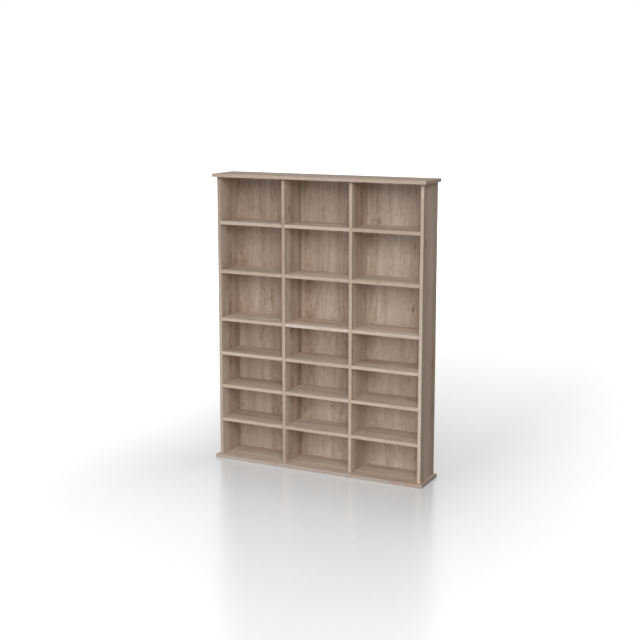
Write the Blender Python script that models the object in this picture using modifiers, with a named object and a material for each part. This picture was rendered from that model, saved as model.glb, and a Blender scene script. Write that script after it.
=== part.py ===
"""CD and DVD rack: an open, free-standing rack of oak-effect boards, three columns of seven rows.

The rack stands on the XY plane with its front towards -Y, and its origin is on the floor below the
middle of the overall box. Sizes are in metres.
"""

from math import cos, pi, radians, sqrt

import bmesh
import bpy
from mathutils import Matrix, Vector

# Boards
BOARD = 0.015
COLUMN_WIDTH = 0.310
UPRIGHT_DEPTH = 0.160
SIDE_OVERHANG = 0.015
FRONT_OVERHANG = 0.020
ARRIS = 0.0008
ARRIS_SEGMENTS = 2

# Clear height of each row, counted from the floor: the first four take disc cases, the others film cases
ROW_1_HEIGHT = 0.158
ROW_2_HEIGHT = 0.143
ROW_3_HEIGHT = 0.138
ROW_4_HEIGHT = 0.143
ROW_5_HEIGHT = 0.204
ROW_6_HEIGHT = 0.206
ROW_7_HEIGHT = 0.198

# Back panels
BACK_THICKNESS = 0.003
BACK_INSET = 0.001
BACK_SEAM = 0.0006

# Fits
JOINT_GAP = 0.0003
BORE_CLEARANCE = 0.0003
CUT_PAST = 0.002
MERGE_DISTANCE = 0.00001

# Glued dowels
DOWEL_RADIUS = 0.004
DOWEL_CHAMFER = 0.0008
DOWEL_ROOT = 0.012
DOWEL_IN_SIDE = 0.009
DOWEL_IN_SHELF = 0.012
DOWEL_IN_END_BOARD = 0.009
SHELF_DOWEL_INSET = 0.032
FIXING_INSET = 0.045
DOWEL_SIDES = 10

# Cam fittings of the top board
CAM_RADIUS = 0.0072
CAM_DEPTH = 0.0124
CAM_SET = 0.0003
CAM_DISTANCE = 0.024
CAM_HOLLOW_RADIUS = 0.0050
CAM_SLOT_START = radians(-32)
CAM_SLOT_SWEEP = radians(142)
CAM_SLOT_STEPS = 6
CAM_DRIVE_LENGTH = 0.0098
CAM_DRIVE_WIDTH = 0.0016
CAM_DRIVE_DEPTH = 0.0020
CAM_SOCKET_RADIUS = 0.0025
CAM_WINDOW_STEP = 0.0002
CAM_SIDES = 20

# Bolts that the cams draw down
BOLT_THREAD_RADIUS = 0.0030
BOLT_THREAD_LENGTH = 0.0110
BOLT_COLLAR_RADIUS = 0.0036
BOLT_COLLAR_LENGTH = 0.0012
BOLT_SHAFT_RADIUS = 0.0028
BOLT_NECK_RADIUS = 0.0020
BOLT_HEAD_RADIUS = 0.0034
BOLT_HEAD_LENGTH = 0.0030
BOLT_CHAMFER = 0.0005
BOLT_SIDES = 12

# Cover caps over the cams
CAP_RADIUS = 0.0085
CAP_THICKNESS = 0.0008
CAP_ROUND = 0.0003
CAP_STEM_LENGTH = 0.0015
CAP_SIDES = 20

# Screws up through the bottom board
SCREW_LENGTH = 0.050
SCREW_HEAD_RADIUS = 0.0050
SCREW_SHANK_RADIUS = 0.0035
SCREW_SHANK_LENGTH = 0.018
SCREW_CORE_RADIUS = 0.0025
SCREW_TIP_LENGTH = 0.004
SCREW_TIP_RADIUS = 0.0010
SCREW_SINK = 0.0006
SCREW_HEX_RADIUS = 0.0023
SCREW_HEX_DEPTH = 0.0030
HEXAGON = 6
SCREW_SIDES = 12

# Panel pins of the back
PIN_LENGTH = 0.020
PIN_RADIUS = 0.0007
PIN_HEAD_RADIUS = 0.0014
PIN_HEAD_HEIGHT = 0.0006
PIN_SINK = 0.0002
PIN_TIP_LENGTH = 0.002
PIN_EDGE_INSET = 0.004
PIN_END_INSET = 0.060
PIN_SIDES = 6

COLUMN_NAMES = ("left", "middle", "right")
UPRIGHT_NAMES = ("left_side", "left_divider", "right_divider", "right_side")
# The side of each upright that its cam is let into: +1 is its +X face.
CAM_FACES = (1, -1, -1, -1)

# Worked out from the sizes above
PITCH = COLUMN_WIDTH + BOARD
BODY_WIDTH = len(COLUMN_NAMES) * PITCH + BOARD
LOW_ROWS = (ROW_1_HEIGHT, ROW_2_HEIGHT, ROW_3_HEIGHT, ROW_4_HEIGHT)
ROW_HEIGHTS = (*LOW_ROWS, ROW_5_HEIGHT, ROW_6_HEIGHT, ROW_7_HEIGHT)
SHELF_LEVELS = tuple(
    BOARD + sum(ROW_HEIGHTS[: row + 1]) + row * BOARD for row in range(len(ROW_HEIGHTS) - 1)
)
TOP_LEVEL = SHELF_LEVELS[-1] + BOARD + ROW_HEIGHTS[-1]
HEIGHT = TOP_LEVEL + BOARD
OVERALL_DEPTH = FRONT_OVERHANG + UPRIGHT_DEPTH + JOINT_GAP + BACK_THICKNESS
BOARD_FRONT = FRONT_OVERHANG - OVERALL_DEPTH / 2
BOARD_REAR = BOARD_FRONT + UPRIGHT_DEPTH
BACK_FRONT = BOARD_REAR + JOINT_GAP
BACK_REAR = BACK_FRONT + BACK_THICKNESS
PIN_HEAD_SEAT = BACK_REAR - PIN_SINK - PIN_HEAD_HEIGHT
FIXING_Y = BOARD_FRONT + FIXING_INSET
END_DOWEL_Y = BOARD_REAR - FIXING_INSET
SHELF_DOWEL_YS = (BOARD_FRONT + SHELF_DOWEL_INSET, BOARD_REAR - SHELF_DOWEL_INSET)
CAM_LEVEL = TOP_LEVEL - CAM_DISTANCE
DOWEL_BORE_RADIUS = DOWEL_RADIUS + BORE_CLEARANCE
DOWEL_THROUGH_REACH = BOARD + JOINT_GAP + DOWEL_IN_SHELF
PIN_BORE_RADIUS = PIN_RADIUS + BORE_CLEARANCE
# The bolt runs down the middle of the upright, so the cam is hollow at that depth.
CAM_AXIS_DEPTH = -BOARD / 2

FRONT = Vector((0, -1, 0))
REAR = Vector((0, 1, 0))
LEFT = Vector((-1, 0, 0))
RIGHT = Vector((1, 0, 0))
UP = Vector((0, 0, 1))
DOWN = Vector((0, 0, -1))


def upright_x(index):
    """The middle plane of an upright, counted from the left."""
    return (index - (len(UPRIGHT_NAMES) - 1) / 2) * PITCH


def clear_scene():
    for obj in list(bpy.data.objects):
        bpy.data.objects.remove(obj, do_unlink=True)


def new_collection(name, parent=None):
    made = bpy.data.collections.new(name)
    (parent or bpy.context.scene.collection).children.link(made)
    return made


def new_material(name, colour, roughness, metallic=0.0):
    material = bpy.data.materials.new(name)
    material.use_nodes = True
    shader = material.node_tree.nodes["Principled BSDF"]
    shader.inputs["Base Color"].default_value = (*colour, 1)
    shader.inputs["Roughness"].default_value = roughness
    shader.inputs["Metallic"].default_value = metallic
    return material


class Rack:
    """The scene's collections, its materials and the empty that every piece hangs from."""

    def __init__(self):
        self.parts = new_collection("cd_rack")
        self.cutters = new_collection("cutters")
        self.cutters.hide_render = True
        self.root = bpy.data.objects.new("rack_frame", None)
        self.parts.objects.link(self.root)
        self.oak = new_material("oak_effect_board", (0.392, 0.305, 0.231), 0.55)
        self.backing = new_material("oak_effect_hardboard", (0.352, 0.273, 0.207), 0.6)
        self.plastic = new_material("oak_tone_plastic", (0.376, 0.292, 0.219), 0.45)
        self.zinc = new_material("zinc_casting", (0.52, 0.53, 0.54), 0.42, 1.0)
        self.steel = new_material("plated_steel", (0.62, 0.61, 0.57), 0.3, 1.0)


def finish_mesh(shape, name, sharp_over=radians(30)):
    bmesh.ops.recalc_face_normals(shape, faces=shape.faces)
    mesh = bpy.data.meshes.new(name)
    shape.to_mesh(mesh)
    shape.free()
    mesh.shade_smooth()
    mesh.set_sharp_from_angle(angle=sharp_over)
    return mesh


def add_part(rack, name, mesh, material, place):
    """A piece of the rack. Its mesh is in its own axes, and `place` puts them in the rack's."""
    obj = bpy.data.objects.new(name, mesh)
    obj.data.materials.append(material)
    rack.parts.objects.link(obj)
    obj.parent = rack.root
    obj.matrix_world = place
    return obj


def add_tool(group, name, mesh, place):
    """A solid that is cut from a piece or joined to it, and isn't a piece itself."""
    obj = bpy.data.objects.new(name, mesh)
    group.objects.link(obj)
    obj.matrix_world = place
    obj.hide_render = True
    obj.display_type = "WIRE"
    return obj


def tool_group(rack, name):
    return new_collection(name, rack.cutters)


def apply_tools(obj, group, operation):
    """A Boolean of the piece with all solids of the group, if it holds any."""
    if not group.objects:
        return
    modifier = obj.modifiers.new(group.name, "BOOLEAN")
    modifier.operation = operation
    modifier.operand_type = "COLLECTION"
    modifier.collection = group
    modifier.solver = "EXACT"


def box_mesh(name, size):
    shape = bmesh.new()
    bmesh.ops.create_cube(shape, size=1, matrix=Matrix.Diagonal((*size, 1)))
    return finish_mesh(shape, name)


def add_box_tool(group, low, high, place=Matrix()):
    low, high = Vector(low), Vector(high)
    name = f"{group.name}_box"
    return add_tool(group, name, box_mesh(name, high - low), place @ Matrix.Translation((low + high) / 2))


def add_rod(group, radius, start, end, sides, place=Matrix(), chamfer=0.0):
    """A round solid between two points, with both rims chamfered if asked."""
    start, end = Vector(start), Vector(end)
    length = (end - start).length
    shape = bmesh.new()
    bmesh.ops.create_cone(
        shape, cap_ends=True, segments=sides, radius1=radius, radius2=radius, depth=length
    )
    if chamfer:
        rims = [edge for edge in shape.edges if edge.calc_length() < length and not lies_along(edge, UP)]
        bmesh.ops.bevel(shape, geom=rims, offset=chamfer, segments=1, affect="EDGES")
    turn = (end - start).to_track_quat("Z", "Y").to_matrix().to_4x4()
    middle = Matrix.Translation((start + end) / 2)
    name = f"{group.name}_rod"
    return add_tool(group, name, finish_mesh(shape, name), place @ middle @ turn)


def lies_along(edge, way):
    run = edge.verts[1].co - edge.verts[0].co
    return abs(run.dot(way)) > run.length / 2


def add_turned(rack, name, profile, sides, material, place):
    """A turned piece: (radius, height) points from the top of the axis, down the outside, to its foot."""
    shape = bmesh.new()
    points = [shape.verts.new((radius, 0, height)) for radius, height in profile]
    for above, below in zip(points, points[1:]):
        shape.edges.new((above, below))
    mesh = bpy.data.meshes.new(name)
    shape.to_mesh(mesh)
    shape.free()
    obj = add_part(rack, name, mesh, material, place)
    screw = obj.modifiers.new("turn", "SCREW")
    screw.axis = "Z"
    screw.angle = 2 * pi
    screw.steps = sides
    screw.render_steps = sides
    screw.use_merge_vertices = True
    screw.merge_threshold = MERGE_DISTANCE
    screw.use_smooth_shade = True
    return obj


def add_board(rack, name, low, high, material):
    low, high = Vector(low), Vector(high)
    return add_part(rack, name, box_mesh(name, high - low), material, Matrix.Translation((low + high) / 2))


def soften_arrises(board, banded, plain):
    """Rounds the board's edges along its banded faces, but not where they meet a plain face."""
    shape = bmesh.new()
    shape.from_mesh(board.data)
    weight = shape.edges.layers.float.new("bevel_weight_edge")
    for edge in shape.edges:
        normals = [face.normal for face in edge.link_faces]
        on_band = any(normal.dot(way) > 0.5 for normal in normals for way in banded)
        on_plain = any(normal.dot(way) > 0.5 for normal in normals for way in plain)
        edge[weight] = float(on_band and not on_plain)
    shape.to_mesh(board.data)
    shape.free()
    bevel = board.modifiers.new("softened_arris", "BEVEL")
    bevel.limit_method = "WEIGHT"
    bevel.width = ARRIS
    bevel.segments = ARRIS_SEGMENTS


# Back panels and their pins


def back_edges(index):
    """The left and right edges of a back panel: the seams lie behind the dividers."""
    left = upright_x(index) + BACK_SEAM / 2
    right = upright_x(index + 1) - BACK_SEAM / 2
    if index == 0:
        left = upright_x(index) - BOARD / 2 + BACK_INSET
    if index == len(COLUMN_NAMES) - 1:
        right = upright_x(index + 1) + BOARD / 2 - BACK_INSET
    return left, right


def pin_places(index):
    """Where a back panel is pinned: near its corners into the uprights, and once into a shelf."""
    left, right = back_edges(index)
    levels = (PIN_END_INSET, HEIGHT - PIN_END_INSET)
    corners = [(x, z) for z in levels for x in (left + PIN_EDGE_INSET, right - PIN_EDGE_INSET)]
    middle_shelf = SHELF_LEVELS[len(SHELF_LEVELS) // 2] + BOARD / 2
    return [*corners, (upright_x(index) + PITCH / 2, middle_shelf)]


def cut_pin_bores(group, low, high):
    """The bores of all pins that enter the rear edge of a board with this box."""
    for index in range(len(COLUMN_NAMES)):
        for x, z in pin_places(index):
            if low[0] < x < high[0] and low[2] < z < high[2]:
                floor = (x, PIN_HEAD_SEAT - PIN_LENGTH - JOINT_GAP, z)
                add_rod(group, PIN_BORE_RADIUS, floor, (x, BOARD_REAR + CUT_PAST, z), PIN_SIDES)


def add_back_panel(rack, index):
    """A hardboard panel planted on the rear edges of the boards, with a hole and a seat for each pin."""
    name = f"back_{COLUMN_NAMES[index]}"
    left, right = back_edges(index)
    low = (left, BACK_FRONT, BACK_INSET)
    high = (right, BACK_REAR, HEIGHT - BACK_INSET)
    panel = add_board(rack, name, low, high, rack.backing)
    holes = tool_group(rack, f"{name}_holes")
    for number, (x, z) in enumerate(pin_places(index), 1):
        mouth, far_side = (x, BACK_REAR + CUT_PAST, z), (x, BACK_FRONT - CUT_PAST, z)
        seat = (x, PIN_HEAD_SEAT - JOINT_GAP, z)
        add_rod(holes, PIN_BORE_RADIUS, mouth, far_side, PIN_SIDES)
        add_rod(holes, PIN_HEAD_RADIUS + BORE_CLEARANCE, mouth, seat, PIN_SIDES)
        add_pin(rack, f"back_pin_{COLUMN_NAMES[index]}_{number}", x, z)
    apply_tools(panel, holes, "DIFFERENCE")


def add_pin(rack, name, x, z):
    """A panel pin, driven in until its head is just below the back panel's rear face."""
    profile = (
        (0, PIN_HEAD_HEIGHT),
        (PIN_HEAD_RADIUS, PIN_HEAD_HEIGHT),
        (PIN_HEAD_RADIUS, 0),
        (PIN_RADIUS, 0),
        (PIN_RADIUS, PIN_TIP_LENGTH - PIN_LENGTH),
        (0, -PIN_LENGTH),
    )
    place = Matrix.Translation((x, PIN_HEAD_SEAT, z)) @ Matrix.Rotation(-pi / 2, 4, "X")
    add_turned(rack, name, profile, PIN_SIDES, rack.steel, place)


# Boards


def add_end_board(rack, name, level):
    """The top or the bottom board, which the uprights stand between."""
    half = BODY_WIDTH / 2 + SIDE_OVERHANG
    low = (-half, BOARD_FRONT - FRONT_OVERHANG, level)
    high = (half, BOARD_REAR, level + BOARD)
    board = add_board(rack, name, low, high, rack.oak)
    soften_arrises(board, (FRONT, LEFT, RIGHT), (REAR,))

    bores = tool_group(rack, f"{name}_bores")
    is_top = name == "top_board"
    face, inward = (level, 1) if is_top else (level + BOARD, -1)
    mouth = face - inward * CUT_PAST
    for index in range(len(UPRIGHT_NAMES)):
        x = upright_x(index)
        floor = (x, END_DOWEL_Y, face + inward * (DOWEL_IN_END_BOARD + JOINT_GAP))
        add_rod(bores, DOWEL_BORE_RADIUS, (x, END_DOWEL_Y, mouth), floor, DOWEL_SIDES)
        if is_top:
            floor = (x, FIXING_Y, face + BOLT_THREAD_LENGTH + JOINT_GAP)
            add_rod(bores, BOLT_THREAD_RADIUS + BORE_CLEARANCE, (x, FIXING_Y, mouth), floor, BOLT_SIDES)
        else:
            cut_screw_seat(bores, x)
    apply_tools(board, bores, "DIFFERENCE")


def cut_screw_seat(group, x):
    """The clearance hole and the countersink of a screw in the bottom board."""
    below, above = (x, FIXING_Y, -CUT_PAST), (x, FIXING_Y, BOARD + CUT_PAST)
    add_rod(group, SCREW_SHANK_RADIUS + BORE_CLEARANCE, below, above, SCREW_SIDES)
    # The countersink is a 45 degree cone, so its radius and height add up to the same everywhere.
    cone_sum = SCREW_SINK + SCREW_HEAD_RADIUS + BORE_CLEARANCE
    depth = cone_sum + CUT_PAST - SCREW_SHANK_RADIUS
    cone = bmesh.new()
    bmesh.ops.create_cone(
        cone,
        cap_ends=True,
        segments=SCREW_SIDES,
        radius1=cone_sum + CUT_PAST,
        radius2=SCREW_SHANK_RADIUS,
        depth=depth,
    )
    name = f"{group.name}_countersink"
    place = Matrix.Translation((x, FIXING_Y, depth / 2 - CUT_PAST))
    add_tool(group, name, finish_mesh(cone, name), place)


def cut_cam_bores(group, x, face):
    """The bore of the cam in the upright's face, and the bolt's bore down from its top end."""
    skin = x + face * BOARD / 2
    mouth = (skin + face * CUT_PAST, FIXING_Y, CAM_LEVEL)
    floor = (skin - face * (CAM_DEPTH + JOINT_GAP), FIXING_Y, CAM_LEVEL)
    add_rod(group, CAM_RADIUS + BORE_CLEARANCE, mouth, floor, CAM_SIDES)
    mouth, floor = (x, FIXING_Y, TOP_LEVEL + CUT_PAST), (x, FIXING_Y, CAM_LEVEL)
    add_rod(group, BOLT_COLLAR_RADIUS + BORE_CLEARANCE, mouth, floor, BOLT_SIDES)


def cut_screw_bores(group, x):
    """The stepped bore of a screw up into the foot of an upright."""
    foot = (x, FIXING_Y, BOARD - CUT_PAST)
    shank_end = (x, FIXING_Y, SCREW_SINK + SCREW_SHANK_LENGTH + JOINT_GAP)
    tip = (x, FIXING_Y, SCREW_SINK + SCREW_LENGTH + JOINT_GAP)
    add_rod(group, SCREW_SHANK_RADIUS + BORE_CLEARANCE, foot, shank_end, SCREW_SIDES)
    add_rod(group, SCREW_CORE_RADIUS + BORE_CLEARANCE, foot, tip, SCREW_SIDES)


def cut_shelf_bores(group, index, x):
    """The shelf dowels' bores: right through a divider, and blind from the inside of a side."""
    blind = BOARD / 2 - DOWEL_IN_SIDE - JOINT_GAP
    past = BOARD / 2 + CUT_PAST
    low = x + blind if index == 0 else x - past
    high = x - blind if index == len(UPRIGHT_NAMES) - 1 else x + past
    for level in SHELF_LEVELS:
        for y in SHELF_DOWEL_YS:
            z = level + BOARD / 2
            add_rod(group, DOWEL_BORE_RADIUS, (low, y, z), (high, y, z), DOWEL_SIDES)


def add_upright(rack, index):
    """A side or a divider: it runs from the bottom board to the top board."""
    name = UPRIGHT_NAMES[index]
    x = upright_x(index)
    low = (x - BOARD / 2, BOARD_FRONT, BOARD + JOINT_GAP)
    high = (x + BOARD / 2, BOARD_REAR, TOP_LEVEL - JOINT_GAP)
    upright = add_board(rack, name, low, high, rack.oak)
    soften_arrises(upright, (FRONT,), (REAR, UP, DOWN))

    dowels = tool_group(rack, f"{name}_dowels")
    reach = JOINT_GAP + DOWEL_IN_END_BOARD
    for level, way in ((low[2], -1), (high[2], 1)):
        root = (x, END_DOWEL_Y, level - way * DOWEL_ROOT)
        tip = (x, END_DOWEL_Y, level + way * reach)
        add_rod(dowels, DOWEL_RADIUS, root, tip, DOWEL_SIDES, chamfer=DOWEL_CHAMFER)
    apply_tools(upright, dowels, "UNION")

    bores = tool_group(rack, f"{name}_bores")
    cut_shelf_bores(bores, index, x)
    cut_cam_bores(bores, x, CAM_FACES[index])
    cut_screw_bores(bores, x)
    cut_pin_bores(bores, low, high)
    apply_tools(upright, bores, "DIFFERENCE")


def add_shelf(rack, column, row):
    """A fixed shelf between two uprights. The middle ones' dowels go on into the outer ones."""
    name = f"shelf_{COLUMN_NAMES[column]}_{row + 1}"
    level = SHELF_LEVELS[row]
    left = upright_x(column) + BOARD / 2 + JOINT_GAP
    low = (left, BOARD_FRONT, level)
    high = (left + COLUMN_WIDTH - 2 * JOINT_GAP, BOARD_REAR, level + BOARD)
    shelf = add_board(rack, name, low, high, rack.oak)
    soften_arrises(shelf, (FRONT,), (REAR, LEFT, RIGHT))

    dowels = tool_group(rack, f"{name}_dowels")
    bores = tool_group(rack, f"{name}_bores")
    is_middle = column == len(COLUMN_NAMES) // 2
    z = level + BOARD / 2
    for y in SHELF_DOWEL_YS:
        for end, way, outer_column in ((low[0], -1, 0), (high[0], 1, len(COLUMN_NAMES) - 1)):
            if is_middle or column == outer_column:
                reach = DOWEL_THROUGH_REACH if is_middle else DOWEL_IN_SIDE
                root = (end - way * DOWEL_ROOT, y, z)
                tip = (end + way * (JOINT_GAP + reach), y, z)
                add_rod(dowels, DOWEL_RADIUS, root, tip, DOWEL_SIDES, chamfer=DOWEL_CHAMFER)
            else:
                floor = (end - way * (DOWEL_IN_SHELF + JOINT_GAP), y, z)
                add_rod(bores, DOWEL_BORE_RADIUS, (end + way * CUT_PAST, y, z), floor, DOWEL_SIDES)
    cut_pin_bores(bores, low, high)
    apply_tools(shelf, dowels, "UNION")
    apply_tools(shelf, bores, "DIFFERENCE")


# Fittings


def add_screw(rack, index):
    """A one-piece connecting screw, head down in the bottom board and point up in the upright."""
    name = f"bottom_screw_{index + 1}"
    shoulder = SCREW_HEAD_RADIUS - SCREW_SHANK_RADIUS
    profile = (
        (0, 0),
        (SCREW_HEAD_RADIUS, 0),
        (SCREW_SHANK_RADIUS, -shoulder),
        (SCREW_SHANK_RADIUS, -SCREW_SHANK_LENGTH),
        (SCREW_CORE_RADIUS, -SCREW_SHANK_LENGTH),
        (SCREW_CORE_RADIUS, SCREW_TIP_LENGTH - SCREW_LENGTH),
        (SCREW_TIP_RADIUS, -SCREW_LENGTH),
        (0, -SCREW_LENGTH),
    )
    place = Matrix.Translation((upright_x(index), FIXING_Y, SCREW_SINK)) @ Matrix.Rotation(pi, 4, "X")
    screw = add_turned(rack, name, profile, SCREW_SIDES, rack.steel, place)
    drive = tool_group(rack, f"{name}_drive")
    add_rod(drive, SCREW_HEX_RADIUS, (0, 0, CUT_PAST), (0, 0, -SCREW_HEX_DEPTH), HEXAGON, place)
    apply_tools(screw, drive, "DIFFERENCE")


def cam_place(index):
    """Axes of a cam fitting: Z out of the upright's face, X up towards the bolt."""
    face = CAM_FACES[index]
    x = upright_x(index) + face * BOARD / 2
    turn = Matrix(((0, 0, face), (0, -face, 0), (1, 0, 0))).to_4x4()
    return Matrix.Translation((x, FIXING_Y, CAM_LEVEL)) @ turn


def slot_sweep_mesh(name, neck_room, reach):
    """The arc that the bolt's neck travels through the cam's wall: a section swept round the axis."""
    slot = bmesh.new()
    bmesh.ops.create_grid(slot, x_segments=1, y_segments=1, size=1)
    size = Matrix.Diagonal(((reach - CUT_PAST) / 2, neck_room, 1)).to_4x4()
    stand = Matrix.Translation(((reach + CUT_PAST) / 2, 0, CAM_AXIS_DEPTH)) @ Matrix.Rotation(pi / 2, 4, "X")
    start = Matrix.Rotation(CAM_SLOT_START, 4, "Z")
    bmesh.ops.transform(slot, matrix=start @ stand @ size, verts=slot.verts)
    bmesh.ops.spin(
        slot,
        geom=[*slot.faces, *slot.edges, *slot.verts],
        cent=(0, 0, 0),
        axis=UP,
        angle=CAM_SLOT_SWEEP,
        steps=CAM_SLOT_STEPS,
    )
    return finish_mesh(slot, name)


def add_cam(rack, index):
    """The cam: a hollow drum with a window that takes the bolt's head and a slot that holds its neck."""
    name = f"cam_{index + 1}"
    place = cam_place(index)
    drum = bmesh.new()
    bmesh.ops.create_cone(
        drum,
        cap_ends=True,
        segments=CAM_SIDES,
        radius1=CAM_RADIUS,
        radius2=CAM_RADIUS,
        depth=CAM_DEPTH - CAM_SET,
        matrix=Matrix.Translation((0, 0, -(CAM_DEPTH + CAM_SET) / 2)),
    )
    cam = add_part(rack, name, finish_mesh(drum, name), rack.zinc, place)

    hollows = tool_group(rack, f"{name}_hollows")
    head_room = BOLT_HEAD_RADIUS + BORE_CLEARANCE
    floor, roof = CAM_AXIS_DEPTH - head_room, CAM_AXIS_DEPTH + head_room
    add_rod(hollows, CAM_HOLLOW_RADIUS, (0, 0, floor), (0, 0, roof), CAM_SIDES, place)
    reach = CAM_RADIUS + CUT_PAST
    slot_name = f"{name}_slot"
    slot = slot_sweep_mesh(slot_name, BOLT_NECK_RADIUS + BORE_CLEARANCE, reach)
    add_tool(hollows, slot_name, slot, place)
    window_turn = Matrix.Rotation(CAM_SLOT_START + CAM_SLOT_SWEEP, 4, "Z")
    low, high = (CUT_PAST, -head_room, floor + CAM_WINDOW_STEP), (reach, head_room, roof - CAM_WINDOW_STEP)
    add_box_tool(hollows, low, high, place @ window_turn)

    drive_floor = -CAM_SET - CAM_DRIVE_DEPTH
    arm = Vector((CAM_DRIVE_LENGTH / 2, CAM_DRIVE_WIDTH / 2, 0))
    for turn in (0, pi / 2):
        low, high = -arm + drive_floor * UP, arm + CUT_PAST * UP
        add_box_tool(hollows, low, high, place @ Matrix.Rotation(turn, 4, "Z"))
    socket_floor = (0, 0, drive_floor - CAM_WINDOW_STEP)
    add_rod(hollows, CAM_SOCKET_RADIUS, socket_floor, (0, 0, CUT_PAST), CAM_SIDES, place)
    apply_tools(cam, hollows, "DIFFERENCE")


def add_cap(rack, index):
    """The cover cap: a thin disc on the board, with a stem in the cam's socket."""
    stem = CAM_SOCKET_RADIUS - BORE_CLEARANCE
    top = JOINT_GAP + CAP_THICKNESS
    profile = (
        (0, top),
        (CAP_RADIUS - CAP_ROUND, top),
        (CAP_RADIUS, top - CAP_ROUND),
        (CAP_RADIUS, JOINT_GAP),
        (stem, JOINT_GAP),
        (stem, -CAM_SET - CAP_STEM_LENGTH),
        (0, -CAM_SET - CAP_STEM_LENGTH),
    )
    add_turned(rack, f"cam_cap_{index + 1}", profile, CAP_SIDES, rack.plastic, cam_place(index))


def add_bolt(rack, index):
    """The bolt: it screws up into the top board and hangs its head in the cam."""
    wall = CAM_HOLLOW_RADIUS * cos(pi / CAM_SIDES) - JOINT_GAP
    shoulder = sqrt(wall**2 - BOLT_HEAD_RADIUS**2) - CAM_DISTANCE
    shaft_end = -(CAM_DISTANCE - CAM_RADIUS) + JOINT_GAP
    head_end = shoulder - BOLT_HEAD_LENGTH
    profile = (
        (0, BOLT_THREAD_LENGTH),
        (BOLT_THREAD_RADIUS - BOLT_CHAMFER, BOLT_THREAD_LENGTH),
        (BOLT_THREAD_RADIUS, BOLT_THREAD_LENGTH - BOLT_CHAMFER),
        (BOLT_THREAD_RADIUS, -JOINT_GAP),
        (BOLT_COLLAR_RADIUS, -JOINT_GAP),
        (BOLT_COLLAR_RADIUS, -JOINT_GAP - BOLT_COLLAR_LENGTH),
        (BOLT_SHAFT_RADIUS, -JOINT_GAP - BOLT_COLLAR_LENGTH),
        (BOLT_SHAFT_RADIUS, shaft_end),
        (BOLT_NECK_RADIUS, shaft_end),
        (BOLT_NECK_RADIUS, shoulder),
        (BOLT_HEAD_RADIUS, shoulder),
        (BOLT_HEAD_RADIUS, head_end + BOLT_CHAMFER),
        (BOLT_HEAD_RADIUS - BOLT_CHAMFER, head_end),
        (0, head_end),
    )
    place = Matrix.Translation((upright_x(index), FIXING_Y, TOP_LEVEL))
    add_turned(rack, f"cam_bolt_{index + 1}", profile, BOLT_SIDES, rack.steel, place)


def main():
    clear_scene()
    rack = Rack()
    add_end_board(rack, "bottom_board", 0)
    add_end_board(rack, "top_board", TOP_LEVEL)
    for index in range(len(UPRIGHT_NAMES)):
        add_upright(rack, index)
        add_screw(rack, index)
        add_cam(rack, index)
        add_cap(rack, index)
        add_bolt(rack, index)
    for column in range(len(COLUMN_NAMES)):
        for row in range(len(SHELF_LEVELS)):
            add_shelf(rack, column, row)
        add_back_panel(rack, column)


main()
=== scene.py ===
"""The looks of the CD rack: oak-effect laminate, raw hardboard, small fittings, and a pale studio."""

from math import pi, radians
from typing import NamedTuple

import bpy
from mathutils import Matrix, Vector


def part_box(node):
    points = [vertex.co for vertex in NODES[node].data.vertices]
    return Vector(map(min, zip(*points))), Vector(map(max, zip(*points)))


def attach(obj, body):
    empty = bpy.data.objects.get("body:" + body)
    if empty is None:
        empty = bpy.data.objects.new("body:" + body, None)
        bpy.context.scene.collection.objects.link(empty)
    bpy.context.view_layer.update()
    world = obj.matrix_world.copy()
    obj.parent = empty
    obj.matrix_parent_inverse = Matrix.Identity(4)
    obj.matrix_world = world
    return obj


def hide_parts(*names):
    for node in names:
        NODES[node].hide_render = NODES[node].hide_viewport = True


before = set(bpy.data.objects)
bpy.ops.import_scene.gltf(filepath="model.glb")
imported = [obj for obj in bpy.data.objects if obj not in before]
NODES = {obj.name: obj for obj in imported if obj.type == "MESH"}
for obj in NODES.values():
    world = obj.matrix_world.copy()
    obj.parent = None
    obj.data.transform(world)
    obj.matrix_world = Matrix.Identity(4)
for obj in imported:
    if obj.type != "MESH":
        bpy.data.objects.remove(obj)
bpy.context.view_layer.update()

# The rack's pieces, as the frame names them
ROOT = "root"
UPRIGHTS = ("left_side", "left_divider", "right_divider", "right_side")
END_BOARDS = ("bottom_board", "top_board")
SHELVES = tuple(name for name in sorted(NODES) if name.startswith("shelf_"))
BACKS = ("back_left", "back_middle", "back_right")
FITTING_NUMBERS = range(1, len(UPRIGHTS) + 1)
CAMS = tuple(f"cam_{number}" for number in FITTING_NUMBERS)
CAM_BOLTS = tuple(f"cam_bolt_{number}" for number in FITTING_NUMBERS)


def middle_of(node):
    low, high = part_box(node)
    return tuple((a + b) / 2 for a, b in zip(low, high))


# Where the boards lie
DIVIDER_LOW, DIVIDER_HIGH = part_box("left_divider")
END_LOW, END_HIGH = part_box("top_board")
BOARD_FRONT = DIVIDER_LOW[1]
BOARD_REAR = DIVIDER_HIGH[1]
END_FRONT = END_LOW[1]
END_REACH = END_HIGH[0]
BACK_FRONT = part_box("back_middle")[0][1]
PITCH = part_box("right_divider")[0][0] - DIVIDER_LOW[0]
RACK_MIDDLE = (0, 0, 0.65)
SHELF_MIDDLES = sorted(middle_of(name)[2] for name in SHELVES if "middle" in name)
BETWEEN_SHELVES = [(a + b) / 2 for a, b in zip(SHELF_MIDDLES, SHELF_MIDDLES[1:])]

FLOAT, COLOUR, VECTOR = "NodeSocketFloat", "NodeSocketColor", "NodeSocketVector"


class Layer(NamedTuple):
    """A noise layer: its waves per metre across and along, its own seed, its detail and its roughness."""

    across: float
    along: float
    seed: float = 0.0
    detail: float = 2.0
    roughness: float = 0.5


class Look(NamedTuple):
    """How strong, how light and how warm the print is. Each is a number or a socket."""

    contrast: float
    lift: float
    warmth: float = 0.0


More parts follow.
